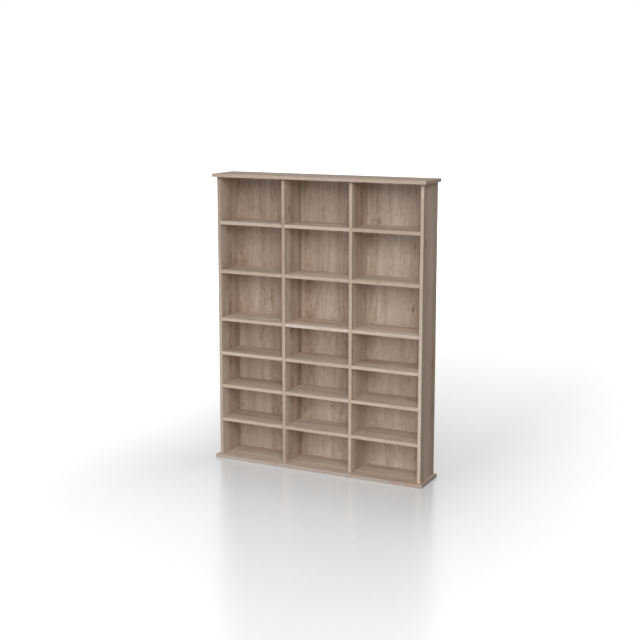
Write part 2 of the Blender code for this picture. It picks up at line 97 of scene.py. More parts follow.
class Bench:
    """A node tree, with short ways to add nodes. A value that is a socket gets wired, any other set."""

    def __init__(self, tree):
        self.tree = tree

    def feed(self, socket, value):
        if isinstance(value, bpy.types.NodeSocket):
            self.tree.links.new(value, socket)
        elif socket.type == "RGBA" and len(value) == 3:
            socket.default_value = (*value, 1)
        else:
            socket.default_value = value

    def feed_all(self, sockets, values):
        for socket, value in zip(sockets, values):
            self.feed(socket, value)

    def put(self, kind, sockets=None, **settings):
        made = self.tree.nodes.new(kind)
        for name, value in settings.items():
            setattr(made, name, value)
        for name, value in (sockets or {}).items():
            self.feed(made.inputs[name], value)
        return made

    def calc(self, operation, *values):
        made = self.put("ShaderNodeMath", operation=operation)
        self.feed_all(made.inputs, values)
        return made.outputs[0]

    def vector(self, operation, *values):
        made = self.put("ShaderNodeVectorMath", operation=operation)
        self.feed_all(made.inputs, values)
        return made.outputs["Value" if operation == "LENGTH" else "Vector"]

    def add(self, *values):
        total = values[0]
        for value in values[1:]:
            total = self.calc("ADD", total, value)
        return total

    def times(self, *values):
        total = values[0]
        for value in values[1:]:
            total = self.calc("MULTIPLY", total, value)
        return total

    def minus(self, first, second):
        return self.calc("SUBTRACT", first, second)

    def centred(self, value):
        """A value that lies about 0.5 comes to lie about 0."""
        return self.minus(value, 0.5)

    def past(self, value, start):
        """How far value lies past the start, and 0 before it."""
        return self.calc("MAXIMUM", self.minus(value, start), 0.0)

    def weigh(self, value, gain, offset):
        """value x gain + offset"""
        return self.calc("MULTIPLY_ADD", value, gain, offset)

    def ramp_up(self, value, low, high, bottom=0.0, top=1.0):
        """Goes smoothly from bottom to top as value goes from low to high."""
        sockets = {"Value": value, "From Min": low, "From Max": high, "To Min": bottom, "To Max": top}
        return self.put("ShaderNodeMapRange", sockets, interpolation_type="SMOOTHSTEP").outputs["Result"]

    def object_place(self):
        return self.put("ShaderNodeTexCoord").outputs["Object"]

    def split(self, vector):
        """The X, Y and Z of a vector."""
        return self.put("ShaderNodeSeparateXYZ", {"Vector": vector}).outputs

    def point(self, x, y, z):
        return self.put("ShaderNodeCombineXYZ", {"X": x, "Y": y, "Z": z}).outputs[0]

    def speckle(self, place, waves, detail=2.0, roughness=0.5):
        """Noise of the same scale every way, with so many waves to the metre."""
        sockets = {"Vector": place, "Scale": waves, "Detail": detail, "Roughness": roughness}
        return self.put("ShaderNodeTexNoise", sockets).outputs["Fac"]

    def grain(self, layer, across, along, seed):
        """Noise that is drawn out along the grain."""
        across, along = self.times(across, layer.across), self.times(along, layer.along)
        place = self.point(across, along, self.add(seed, layer.seed))
        return self.speckle(place, 1.0, layer.detail, layer.roughness)

    def blend(self, values, ports, result, **settings):
        """A Mix node, with the ports that its data type reads and gives."""
        made = self.put("ShaderNodeMix", **settings)
        self.feed_all([made.inputs[port] for port in ports], values)
        return made.outputs[result]

    def mix(self, share, first, second, **settings):
        """A colour made of the first and the second."""
        return self.blend((share, first, second), (0, 6, 7), 2, data_type="RGBA", **settings)

    def between(self, share, first, second):
        """A number between the first and the second."""
        return self.blend((share, first, second), (0, 2, 3), 0, data_type="FLOAT")

    def tones(self, value, stops):
        made = self.put("ShaderNodeValToRGB", {"Fac": value})
        band = made.color_ramp
        while len(band.elements) < len(stops):
            band.elements.new(0.5)
        for element, (place, colour) in zip(band.elements, stops):
            element.position = place
            element.color = (*colour, 1)
        return made.outputs["Color"]

    def use(self, group, **sockets):
        made = self.put("ShaderNodeGroup")
        made.node_tree = group
        for name, value in sockets.items():
            self.feed(made.inputs[name.replace("_", " ")], value)
        return made.outputs

    def pick(self, index, values):
        """The value that stands at the index in the row of values, counted from 0."""
        total = values[0]
        for place, (last, value) in enumerate(zip(values, values[1:])):
            if value != last:
                total = self.weigh(self.calc("GREATER_THAN", index, place + 0.5), value - last, total)
        return total

    def pick_look(self, index, looks):
        return Look(*(self.pick(index, values) for values in zip(*looks)))

    def count_above(self, value, edges):
        """How many of the edges lie below value."""
        return self.add(*(self.calc("GREATER_THAN", value, edge) for edge in edges))

    def emboss(self, shader, height, strength, depth):
        bump = self.put("ShaderNodeBump", {"Strength": strength, "Distance": depth, "Height": height})
        self.feed(shader.inputs["Normal"], bump.outputs["Normal"])


def new_group(name, takes, gives):
    tree = bpy.data.node_groups.new(name, "ShaderNodeTree")
    for label, kind, value in takes:
        tree.interface.new_socket(name=label, in_out="INPUT", socket_type=kind).default_value = value
    for label, kind in gives:
        tree.interface.new_socket(name=label, in_out="OUTPUT", socket_type=kind)
    given = tree.nodes.new("NodeGroupInput").outputs
    out = tree.nodes.new("NodeGroupOutput").inputs
    return Bench(tree), given, out


def new_material(name):
    material = bpy.data.materials.new(name)
    material.use_nodes = True
    bench = Bench(material.node_tree)
    return material, bench, material.node_tree.nodes["Principled BSDF"]


# Oak-effect print

OAK_TONES = (
    (0.0, (0.312, 0.212, 0.152)),
    (0.30, (0.433, 0.327, 0.255)),
    (0.55, (0.520, 0.418, 0.338)),
    (0.80, (0.600, 0.500, 0.418)),
    (1.0, (0.680, 0.590, 0.510)),
)
MIDDLE_TONE = 0.54
OAK_OLIVE = (0.500, 0.432, 0.330)
OAK_PINK = (0.575, 0.418, 0.345)
OAK_BETWEEN = (0.530, 0.425, 0.340)
HUE_SHARE = 0.12
OAK_WARM = (1.0, 0.90, 0.80)
PORE_BROWN = (0.270, 0.190, 0.130)
PORE_SHARE = 0.42
KNOT_BROWN = (0.200, 0.132, 0.085)
KNOT_SHARE = 0.62

# Layers of the print
DRIFT = Layer(7.0, 1.9)
RING_FIELD = Layer(8.0, 0.95, detail=1.5)
PLAIN_ZONES = Layer(10.0, 1.2, seed=9.0)
COARSE = Layer(120.0, 3.4, detail=3.0, roughness=0.62)
STREAKS = Layer(300.0, 15.0, roughness=0.6)
FINE = Layer(800.0, 24.0)
PORES = Layer(900.0, 26.0, detail=1.0)
BROAD = Layer(11.0, 0.8, seed=4.0)
BANDS = Layer(30.0, 1.3, seed=23.0, detail=1.0)
MOTTLE = Layer(70.0, 44.0, seed=5.0, roughness=0.55)
HUE = Layer(16.0, 2.0, seed=17.0)
RAGGED = Layer(160.0, 90.0)

# How far each layer moves the tone
STAVE_TONE = 0.34
MOTTLE_TONE = 0.95
BROAD_TONE = 1.15
BANDS_TONE = 0.80
COARSE_TONE = 0.28
STREAKS_TONE = 0.46
FINE_TONE = 0.36
RINGS_TONE = -0.19
JOINT_TONE = -0.14
HALO_TONE = -0.20

# Shapes of the figure, with lengths in metres
FIBRE_DRIFT = 0.020
STAVE_WAVER = 0.35
WAVER_WAVES = 0.5
JOINT_WIDTH = 0.0022
KNOT_CELL = (0.15, 0.30)
KNOT_STRETCH = 1.9
KNOT_DISORDER = 0.8
KNOT_RADIUS = 0.0030
KNOT_SPREAD = 0.0050
KNOT_RAGGED = (0.7, 0.65)
RING_TURNS = 15.0
RING_SLOPE = 26.0
RING_SWELL = 2.6
RING_SHARPNESS = 2.4
RING_MEAN = 0.28
PORES_IN_RINGS, PORES_BETWEEN = 0.7, 0.3

# How the seed shifts the staves and knots, and how it differs from stave to stave
STAVE_SHIFT = 0.37
KNOT_SHIFT = (0.613, 1.17)
TONE_SEED_STEP = 13.1
STAVE_SEED_STEP = 2.7

# Ramps: the value's low and high end, then what is given at each, 0 and 1 where nothing is said
PORE_RAMP = (0.60, 0.70)
HUE_RAMP = (0.35, 0.65)
RING_FADE = (0.36, 0.62, 0.25, 1.0)
MOTTLE_FADE = (0.40, 0.62, 0.12, 1.0)
KNOT_CHANCE = (0.50, 0.56)
KNOT_CORE = (0.5, 1.5, 1.0, 0.0)
KNOT_HALO = (0.8, 6.5, 1.0, 0.0)

# Gloss and relief of the figure
GLOSS_SPREAD = 0.10
FIBRE_HEIGHT = 0.3
PORE_DEPTH = 0.7


def lay_staves(bench, across, along, seed, stave):
    """The wavering strips of the print: each one's tone and seed, and the joint lines between them."""
    strip = bench.add(bench.calc("DIVIDE", across, stave), bench.times(seed, STAVE_SHIFT))
    waver = bench.speckle(bench.point(strip, bench.times(along, WAVER_WAVES), seed), 1.0)
    strip = bench.weigh(waver, STAVE_WAVER, strip)
    number = bench.calc("FLOOR", strip)
    inside = bench.calc("FRACT", strip)
    edge = bench.times(bench.calc("MINIMUM", inside, bench.minus(1.0, inside)), stave)
    joint = bench.ramp_up(edge, 0.0, JOINT_WIDTH, 1.0, 0.0)
    draw = {"W": bench.weigh(seed, TONE_SEED_STEP, number)}
    tone = bench.put("ShaderNodeTexWhiteNoise", draw, noise_dimensions="1D").outputs["Value"]
    return tone, bench.weigh(number, STAVE_SEED_STEP, seed), joint


def grow_knots(bench, across, along, seed, own_seed, amount):
    """Small ragged knots, at most one to a cell: the masks of the cores and of the wood round them."""
    spot = bench.point(
        bench.calc("DIVIDE", bench.weigh(seed, KNOT_SHIFT[0], across), KNOT_CELL[0]),
        bench.calc("DIVIDE", bench.weigh(seed, KNOT_SHIFT[1], along), KNOT_CELL[1]),
        0.0,
    )
    sockets = {"Vector": spot, "Scale": 1.0, "Randomness": KNOT_DISORDER}
    cells = bench.put("ShaderNodeTexVoronoi", sockets, voronoi_dimensions="2D").outputs
    away = bench.vector("SUBTRACT", spot, cells["Position"])
    away = bench.vector("MULTIPLY", away, (KNOT_CELL[0], KNOT_CELL[1] / KNOT_STRETCH, 0.0))
    chance = bench.put("ShaderNodeSeparateColor", {"Color": cells["Color"]}).outputs
    ragged = bench.weigh(bench.grain(RAGGED, across, along, own_seed), *KNOT_RAGGED)
    radius = bench.times(bench.weigh(chance["Green"], KNOT_SPREAD, KNOT_RADIUS), ragged)
    far = bench.calc("DIVIDE", bench.vector("LENGTH", away), radius)
    there = bench.times(bench.ramp_up(chance["Red"], *KNOT_CHANCE), amount)
    core = bench.times(bench.ramp_up(far, *KNOT_CORE), there)
    halo = bench.times(bench.ramp_up(far, *KNOT_HALO), there)
    return core, halo


def draw_rings(bench, line_place, along, own_seed, halo, plain_zones):
    """Ring lines that swell round the knots and fade in the plain zones."""
    field = bench.grain(RING_FIELD, line_place, along, own_seed)
    slope = bench.times(line_place, RING_SLOPE)
    field = bench.add(bench.times(field, RING_TURNS), slope, bench.times(halo, RING_SWELL))
    wave = bench.weigh(bench.calc("SINE", bench.times(field, 2 * pi)), 0.5, 0.5)
    rings = bench.calc("POWER", wave, RING_SHARPNESS)
    return bench.times(rings, bench.ramp_up(plain_zones, *RING_FADE))


def make_oak_print():
    """Printed oak: soft staves, wandering fibres, ring lines that swell round small knots, and pores."""
    takes = (
        ("Across", FLOAT, 0.0),
        ("Along", FLOAT, 0.0),
        ("Seed", FLOAT, 0.0),
        ("Stave", FLOAT, 0.085),
        ("Contrast", FLOAT, 1.0),
        ("Knots", FLOAT, 1.0),
        ("Lift", FLOAT, 0.0),
        ("Warmth", FLOAT, 0.0),
    )
    gives = (("Colour", COLOUR), ("Roughness", FLOAT), ("Height", FLOAT))
    bench, given, out = new_group("oak_print", takes, gives)
    across, along, seed = given["Across"], given["Along"], given["Seed"]

    stave_tone, own_seed, joint = lay_staves(bench, across, along, seed, given["Stave"])
    core, halo = grow_knots(bench, across, along, seed, own_seed, given["Knots"])

    # Fibres wander along the board, and the fine layers follow them
    drift = bench.grain(DRIFT, across, along, own_seed)
    line_place = bench.weigh(bench.centred(drift), FIBRE_DRIFT, across)
    plain_zones = bench.grain(PLAIN_ZONES, across, along, own_seed)
    rings = draw_rings(bench, line_place, along, own_seed, halo, plain_zones)
    coarse = bench.grain(COARSE, line_place, along, own_seed)
    streaks = bench.grain(STREAKS, line_place, along, own_seed)
    fine = bench.grain(FINE, line_place, along, own_seed)
    pore = bench.ramp_up(bench.grain(PORES, line_place, along, own_seed), *PORE_RAMP)
    pore = bench.times(pore, bench.weigh(rings, PORES_IN_RINGS, PORES_BETWEEN))
    broad = bench.grain(BROAD, across, along, seed)
    bands = bench.grain(BANDS, line_place, along, seed)
    mottle = bench.centred(bench.grain(MOTTLE, line_place, along, own_seed))
    mottle = bench.times(mottle, bench.ramp_up(plain_zones, *MOTTLE_FADE))

    tone = bench.add(
        bench.times(bench.centred(stave_tone), STAVE_TONE),
        bench.times(mottle, MOTTLE_TONE),
        bench.times(bench.centred(broad), BROAD_TONE),
        bench.times(bench.centred(bands), BANDS_TONE),
        bench.times(bench.centred(coarse), COARSE_TONE),
        bench.times(bench.centred(streaks), STREAKS_TONE),
        bench.times(bench.centred(fine), FINE_TONE),
        bench.times(bench.minus(rings, RING_MEAN), RINGS_TONE),
        bench.times(joint, JOINT_TONE),
        bench.times(halo, HALO_TONE),
    )
    tone = bench.add(bench.weigh(tone, given["Contrast"], MIDDLE_TONE), given["Lift"])
    colour = bench.tones(tone, OAK_TONES)
    hue = bench.ramp_up(bench.grain(HUE, across, along, seed), *HUE_RAMP)
    tint = bench.mix(1.0, bench.mix(hue, OAK_OLIVE, OAK_PINK), OAK_BETWEEN, blend_type="DIVIDE")
    colour = bench.mix(HUE_SHARE, colour, bench.mix(1.0, colour, tint, blend_type="MULTIPLY"))
    # A warmth below 0 cools the print, so its share isn't clamped
    colour = bench.mix(given["Warmth"], colour, OAK_WARM, blend_type="MULTIPLY", clamp_factor=False)
    colour = bench.mix(bench.times(pore, PORE_SHARE), colour, PORE_BROWN)
    colour = bench.mix(bench.times(core, KNOT_SHARE), colour, KNOT_BROWN)

    gloss = bench.times(bench.minus(pore, bench.centred(coarse)), GLOSS_SPREAD)
    height = bench.minus(bench.times(fine, FIBRE_HEIGHT), bench.times(pore, PORE_DEPTH))
    bench.feed(out["Colour"], colour)
    bench.feed(out["Roughness"], gloss)
    bench.feed(out["Height"], height)
    return bench.tree


# Board finishes

CHIP_TONES = (
    (0.0, (0.26, 0.17, 0.10)),
    (0.5, (0.46, 0.34, 0.21)),
    (1.0, (0.62, 0.49, 0.33)),
)
CHIP_GAP = (0.13, 0.08, 0.05)
GAP_SHARE = 0.6
GAP_RAMP = (0.45, 0.85)
CHIPS_PER_METRE = 420.0

# How far behind the front edge the band and its glue line reach, and how wide their borders blur
ARRIS = 0.0008
GLUE_END = 0.0009
BORDER = 0.0002
GLUE_FADE = 0.0006

# Dust lies thicker in patches and in specks, whose waves are counted to the metre
DUST_GREY = (0.72, 0.70, 0.67)
DUST_ROUGHER = 0.6
DUST_PATCHES = 14.0
DUST_SPECKS = 900.0
FACES_UP = (0.7, 0.98)
PATCH_RAMP = (0.30, 0.75, 0.3, 1.0)
SPECK_RAMP = (0.45, 0.62, 0.7, 1.3)


def make_chip_core():
    """Bare chipboard: pressed flakes with dark gaps."""
    gives = (("Colour", COLOUR), ("Height", FLOAT))
    bench, given, out = new_group("chip_core", (("Place", VECTOR, (0, 0, 0)),), gives)
    sockets = {"Vector": given["Place"], "Scale": CHIPS_PER_METRE, "Randomness": 1.0}
    cells = bench.put("ShaderNodeTexVoronoi", sockets).outputs
    flake = bench.put("ShaderNodeSeparateColor", {"Color": cells["Color"]}).outputs["Red"]
    gap = bench.ramp_up(cells["Distance"], *GAP_RAMP)
    colour = bench.mix(bench.times(gap, GAP_SHARE), bench.tones(flake, CHIP_TONES), CHIP_GAP)
    bench.feed(out["Colour"], colour)
    bench.feed(out["Height"], bench.minus(flake, gap))
    return bench.tree


def make_board_zones():
    """Where a board is edge-banded, where the band's glue line shows, and where the raw core is bare."""
    takes = (("Behind front", FLOAT, 0.0), ("Before rear", FLOAT, 1.0))
    gives = (("Band", FLOAT), ("Glue", FLOAT), ("Raw", FLOAT))
    bench, given, out = new_group("board_zones", takes, gives)
    inner = given["Behind front"]
    glue_start = bench.ramp_up(inner, ARRIS - BORDER, ARRIS)
    glue_end = bench.ramp_up(inner, GLUE_END, GLUE_END + GLUE_FADE, 1.0, 0.0)
    bench.feed(out["Band"], bench.ramp_up(inner, ARRIS - BORDER, ARRIS, 1.0, 0.0))
    bench.feed(out["Glue"], bench.times(glue_start, glue_end))
    bench.feed(out["Raw"], bench.ramp_up(given["Before rear"], BORDER, 2 * BORDER, 1.0, 0.0))
    return bench.tree


def make_dust():
    """A thin, uneven film of dust on faces that look up."""
    takes = (("Colour", COLOUR, (0, 0, 0, 1)), ("Roughness", FLOAT, 0.5), ("Amount", FLOAT, 0.1))
    bench, given, out = new_group("dust_film", takes, (("Colour", COLOUR), ("Roughness", FLOAT)))
    up = bench.split(bench.put("ShaderNodeNewGeometry").outputs["Normal"])["Z"]
    place = bench.object_place()
    patches = bench.speckle(place, DUST_PATCHES, detail=4.0, roughness=0.6)
    specks = bench.speckle(place, DUST_SPECKS, detail=1.0)
    film = bench.times(
        bench.ramp_up(up, *FACES_UP),
        bench.ramp_up(patches, *PATCH_RAMP),
        given["Amount"],
        bench.ramp_up(specks, *SPECK_RAMP),
    )
    bench.feed(out["Colour"], bench.mix(film, given["Colour"], DUST_GREY))
    bench.feed(out["Roughness"], bench.weigh(film, DUST_ROUGHER, given["Roughness"]))
    return bench.tree


OAK_PRINT = make_oak_print()
CHIP_CORE = make_chip_core()
BOARD_ZONES = make_board_zones()
DUST_FILM = make_dust()

GLUE_BROWN = (0.20, 0.14, 0.095)
GLUE_SHARE = 0.45
SATIN = 0.52
CORE_ROUGHER = 0.40
INNER_SHEEN = 0.22
OUTER_SHEEN = 0.05
BOARD_KNOTS = 0.8
BOARD_BUMP = 0.6
CORE_HEIGHT = 3.0
PRINT_DEPTH = 0.00012
BAND_CONTRAST = 0.54
BAND_SEED = 3.3

# Shelves
SHELF_SEED, COLUMN_SEED_STEP, LEVEL_SEED_STEP = 31.0, 4.13, 7.71
SHELF_STAVE = 0.070
SHELF_DUST = 0.03
SHELF_FACE = Look(0.85, 0.03)
SHELF_BAND = Look(BAND_CONTRAST, 0.02)

# Uprights, from left to right
UPRIGHT_SEED, UPRIGHT_SEED_STEP = 11.0, 5.37
UPRIGHT_STAVE = 0.080
# The right side's lift and warmth are painted light: its faces are painted lighter and warmer to stand in
# for how light falls on its outer face
UPRIGHT_FACES = (Look(0.85, 0.05), Look(0.85, -0.09), Look(0.85, -0.09), Look(0.62, 0.09, 0.5))
UPRIGHT_BANDS = (
    Look(BAND_CONTRAST, -0.18, -0.35),
    Look(BAND_CONTRAST, -0.13),
    Look(BAND_CONTRAST, 0.01),
    Look(BAND_CONTRAST, 0.19),
)

# Bottom and top board, whose bands are darker on the short ends
BOTTOM_SEED, TOP_SEED_STEP, END_SEED_STEP = 57.0, 6.1, 2.3
END_STAVE = 0.080
END_DUST = 0.01
# The top board's lift of -0.26 is painted shade: its print is darkened to stand in for the weaker light
# that falls on it from above
END_FACES = (Look(0.5, 0.06), Look(0.5, -0.26))
END_BANDS = (Look(BAND_CONTRAST, -0.06, -0.6), Look(BAND_CONTRAST, 0.06))
SHORT_END_LIFT = -0.10

# Back panels, from left to right
BACK_STAVE = 0.095
BACK_KNOTS = 0.7
BACK_CONTRAST = 0.84
BACK_SEEDS = (116.37, 109.52, 101.30)
BACK_LIFTS = (-0.16, 0.02, 0.04)
HARDBOARD_TONES = (
    (0.25, (0.235, 0.150, 0.088)),
    (0.5, (0.330, 0.222, 0.138)),
    (0.75, (0.430, 0.305, 0.200)),
)
HARDBOARD_CLOUDS, CLOUD_SHARE = 30.0, 0.55
HARDBOARD_FIBRES, FIBRE_SHARE = 700.0, 0.45
HARDBOARD_START = 0.0001
HARDBOARD_ROUGHER = 0.15
HARDBOARD_HEIGHT = 1.5
BACK_BUMP = 0.5


def count_from_left(bench, x, row):
    """Which piece of the row lies at x, counted from 0 at the left."""
    return bench.calc("ROUND", bench.weigh(x, 1 / PITCH, (len(row) - 1) / 2))


def finish_board(bench, shader, across, along, seed, behind_front, stave, face, band, dust, sheen):
    """Joins print, edge band, glue line and raw core into one laminate finish."""
    place = bench.object_place()
    before_rear = bench.minus(BOARD_REAR, bench.split(place)["Y"])
    zones = bench.use(BOARD_ZONES, Behind_front=behind_front, Before_rear=before_rear)
    look = Look(*(bench.between(zones["Band"], *values) for values in zip(face, band)))
    oak = bench.use(
        OAK_PRINT,
        Across=across,
        Along=along,
        Seed=bench.weigh(zones["Band"], BAND_SEED, seed),
        Stave=stave,
        Contrast=look.contrast,
        Knots=BOARD_KNOTS,
        Lift=look.lift,
        Warmth=look.warmth,
    )
    core = bench.use(CHIP_CORE, Place=place)
    colour = bench.mix(bench.times(zones["Glue"], GLUE_SHARE), oak["Colour"], GLUE_BROWN)
    colour = bench.mix(zones["Raw"], colour, core["Colour"])
    rough = bench.weigh(zones["Raw"], CORE_ROUGHER, bench.add(oak["Roughness"], SATIN))
    top = bench.use(DUST_FILM, Colour=colour, Roughness=rough, Amount=dust)
    bench.feed(shader.inputs["Base Color"], top["Colour"])
    bench.feed(shader.inputs["Roughness"], top["Roughness"])
    shader.inputs["Specular IOR Level"].default_value = sheen
    height = bench.between(zones["Raw"], oak["Height"], bench.times(core["Height"], CORE_HEIGHT))
    bench.emboss(shader, height, BOARD_BUMP, PRINT_DEPTH)


def shelf_laminate():
    material, bench, shader = new_material("oak_shelf_laminate")
    x, y, z = bench.split(bench.object_place())
    column = bench.calc("ROUND", bench.calc("DIVIDE", x, PITCH))
    level = bench.count_above(z, BETWEEN_SHELVES)
    seed = bench.add(bench.times(column, COLUMN_SEED_STEP), bench.times(level, LEVEL_SEED_STEP), SHELF_SEED)
    finish_board(
        bench, shader,
        across=bench.add(y, z),
        along=x,
        seed=seed,
        behind_front=bench.minus(y, BOARD_FRONT),
        stave=SHELF_STAVE,
        face=SHELF_FACE,
        band=SHELF_BAND,
        dust=SHELF_DUST,
        sheen=INNER_SHEEN,
    )
    return material


def upright_laminate():
    material, bench, shader = new_material("oak_upright_laminate")
    x, y, z = bench.split(bench.object_place())
    number = count_from_left(bench, x, UPRIGHTS)
    finish_board(
        bench, shader,
        across=bench.add(y, x),
        along=z,
        seed=bench.weigh(number, UPRIGHT_SEED_STEP, UPRIGHT_SEED),
        behind_front=bench.minus(y, BOARD_FRONT),
        stave=UPRIGHT_STAVE,
        face=bench.pick_look(number, UPRIGHT_FACES),
        band=bench.pick_look(number, UPRIGHT_BANDS),
        dust=0.0,
        sheen=OUTER_SHEEN,
    )
    return material


def end_board_laminate():
    """The top and bottom boards: banded in front and at both ends, where the lines run with the end."""
    material, bench, shader = new_material("oak_end_board_laminate")
    x, y, z = bench.split(bench.object_place())
    upper = bench.calc("GREATER_THAN", z, RACK_MIDDLE[2])
    from_end = bench.minus(END_REACH, bench.calc("ABSOLUTE", x))
    on_end = bench.ramp_up(from_end, ARRIS - BORDER, ARRIS, 1.0, 0.0)
    band = bench.pick_look(upper, END_BANDS)
    band_lift = bench.weigh(on_end, SHORT_END_LIFT, band.lift)
    seed = bench.add(bench.times(upper, TOP_SEED_STEP), bench.times(on_end, END_SEED_STEP), BOTTOM_SEED)
    finish_board(
        bench, shader,
        across=bench.between(on_end, bench.add(y, z), z),
        along=bench.between(on_end, x, y),
        seed=seed,
        behind_front=bench.calc("MINIMUM", bench.minus(y, END_FRONT), from_end),
        stave=END_STAVE,
        face=bench.pick_look(upper, END_FACES),
        band=Look(band.contrast, band_lift, band.warmth),
        dust=END_DUST,
        sheen=OUTER_SHEEN,
    )
    return material


def backing():
    """The back panels: oak print inside, bare brown hardboard behind and on the edges."""
    material, bench, shader = new_material("oak_backing")
    place = bench.object_place()
    x, y, z = bench.split(place)
    column = count_from_left(bench, x, BACKS)
    oak = bench.use(
        OAK_PRINT,
        Across=x,
        Along=z,
        Seed=bench.pick(column, BACK_SEEDS),
        Stave=BACK_STAVE,
        Contrast=BACK_CONTRAST,
        Knots=BACK_KNOTS,
        Lift=bench.pick(column, BACK_LIFTS),
    )
    bare = bench.ramp_up(y, BACK_FRONT + HARDBOARD_START, BACK_FRONT + 2 * HARDBOARD_START)
    cloud = bench.speckle(place, HARDBOARD_CLOUDS, detail=5.0, roughness=0.65)
    fibre = bench.speckle(place, HARDBOARD_FIBRES)
    brown = bench.add(bench.times(cloud, CLOUD_SHARE), bench.times(fibre, FIBRE_SHARE))
    colour = bench.mix(bare, oak["Colour"], bench.tones(brown, HARDBOARD_TONES))
    bench.feed(shader.inputs["Base Color"], colour)
    rough = bench.add(oak["Roughness"], bench.weigh(bare, HARDBOARD_ROUGHER, SATIN))
    bench.feed(shader.inputs["Roughness"], rough)
    shader.inputs["Specular IOR Level"].default_value = INNER_SHEEN
    height = bench.between(bare, oak["Height"], bench.times(fibre, HARDBOARD_HEIGHT))
    bench.emboss(shader, height, BACK_BUMP, PRINT_DEPTH)
    return material


# Finishes of the small fittings

FITTING_BUMP = 0.5
CAP_COLOURS = ((0.400, 0.305, 0.228), (0.455, 0.352, 0.268))
CAP_CLOUDS = 150.0
CAP_GRAIN = 1800.0
CAP_GRAIN_DEPTH = 0.00003
CAP_ROUGHNESS, CAP_ROUGHNESS_SPREAD = 0.36, 0.12

# Metals: dull and bright tone, roughness, grit in waves per metre, and depth of the grit
METALS = {
    "cast_zinc": ((0.36, 0.37, 0.38), (0.50, 0.51, 0.52), 0.48, 2500, 0.00006),
    "bolt_plating": ((0.52, 0.50, 0.44), (0.66, 0.65, 0.60), 0.30, 4000, 0.00002),
    "screw_plating": ((0.52, 0.51, 0.47), (0.66, 0.65, 0.61), 0.30, 4000, 0.00002),
    "pin_wire": ((0.48, 0.48, 0.49), (0.62, 0.62, 0.63), 0.28, 4000, 0.00002),
}
BLOOM_PATCHES = 220.0
BLOOM_RAMP = (0.3, 0.7)
BLOOM_GLOSS = -0.14
GRIT_GLOSS = 0.1


def cap_plastic():
    material, bench, shader = new_material("oak_tone_plastic")
    place = bench.object_place()
    grain = bench.speckle(place, CAP_GRAIN)
    cloud = bench.speckle(place, CAP_CLOUDS)
    bench.feed(shader.inputs["Base Color"], bench.mix(cloud, *CAP_COLOURS))
    bench.feed(shader.inputs["Roughness"], bench.weigh(grain, CAP_ROUGHNESS_SPREAD, CAP_ROUGHNESS))
    bench.emboss(shader, grain, FITTING_BUMP, CAP_GRAIN_DEPTH)
    return material


def metal(name):
    """A plated or cast metal: uneven tone, fine grit, and a duller bloom in patches."""
    dull, bright, rough, grit, depth = METALS[name]
    material, bench, shader = new_material(name)
    place = bench.object_place()
    bloom = bench.speckle(place, BLOOM_PATCHES, detail=3.0, roughness=0.6)
    grain = bench.speckle(place, grit)
    rough = bench.weigh(bench.centred(bloom), BLOOM_GLOSS, rough)
    rough = bench.weigh(bench.centred(grain), GRIT_GLOSS, rough)
    bench.feed(shader.inputs["Base Color"], bench.mix(bench.ramp_up(bloom, *BLOOM_RAMP), dull, bright))
    bench.feed(shader.inputs["Roughness"], rough)
    shader.inputs["Metallic"].default_value = 1
    bench.emboss(shader, grain, FITTING_BUMP, depth)
    return material


def dress(names, material):
    for name in names:
        for slot in NODES[name].material_slots:
            slot.material = material


# Making of the small fittings

MERGE_WITHIN = 0.000002
SMOOTH_BELOW = radians(35)


def start_piece(name, add, **place):
    bpy.ops.object.select_all(action="DESELECT")
    add(**place)
    piece = bpy.context.object
    piece.name = name
    piece.data.name = name
    return piece


def select_only(piece):
    bpy.ops.object.select_all(action="DESELECT")
    piece.select_set(True)
    bpy.context.view_layer.objects.active = piece


def draw_profile(name, profile):
    """A chain of edges through the profile's (radius, height) points. The piece stays in edit mode."""
    piece = start_piece(name, bpy.ops.mesh.primitive_plane_add, size=0.001)
    bpy.ops.object.mode_set(mode="EDIT")
    bpy.ops.mesh.merge(type="CENTER")
    bpy.ops.transform.translate(value=(profile[0][0], 0, profile[0][1]))
    for here, there in zip(profile, profile[1:]):
        step = (there[0] - here[0], 0, there[1] - here[1])
        bpy.ops.mesh.extrude_region_move(TRANSFORM_OT_translate={"value": step})
    bpy.ops.mesh.select_all(action="SELECT")
    return piece


def close_skin():
    bpy.ops.mesh.select_all(action="SELECT")
    bpy.ops.mesh.remove_doubles(threshold=MERGE_WITHIN)
    bpy.ops.mesh.normals_make_consistent(inside=False)


def turn_on_lathe(name, profile, sides):
    """A turned piece round the Z axis, whose profile starts and ends on the axis."""
    piece = draw_profile(name, profile)
    bpy.ops.mesh.spin(steps=sides, angle=2 * pi, center=(0, 0, 0), axis=(0, 0, 1))
    close_skin()
    bpy.ops.object.mode_set(mode="OBJECT")
    return piece


def wind_thread(name, core, crest, flank, pitch, low, turns, sides):
    """A helical thread ridge round the Z axis: a triangle swept up the core, closed at both ends."""
    corners = ((core, low - flank), (crest, low), (core, low + flank))
    piece = draw_profile(name, (*corners, corners[0]))
    bpy.ops.mesh.remove_doubles(threshold=MERGE_WITHIN)
    bpy.ops.object.mode_set(mode="OBJECT")
    winding = piece.modifiers.new("winding", "SCREW")
    winding.angle = 2 * pi
    winding.screw_offset = pitch
    winding.iterations = turns
    winding.steps = winding.render_steps = sides
    bpy.ops.object.modifier_apply(modifier=winding.name)
    bpy.ops.object.mode_set(mode="EDIT")
    bpy.ops.mesh.select_all(action="SELECT")
    bpy.ops.mesh.fill_holes(sides=3)
    close_skin()
    bpy.ops.object.mode_set(mode="OBJECT")
    return piece


def join_to(piece, other):
    select_only(piece)
    other.select_set(True)
    bpy.ops.object.join()


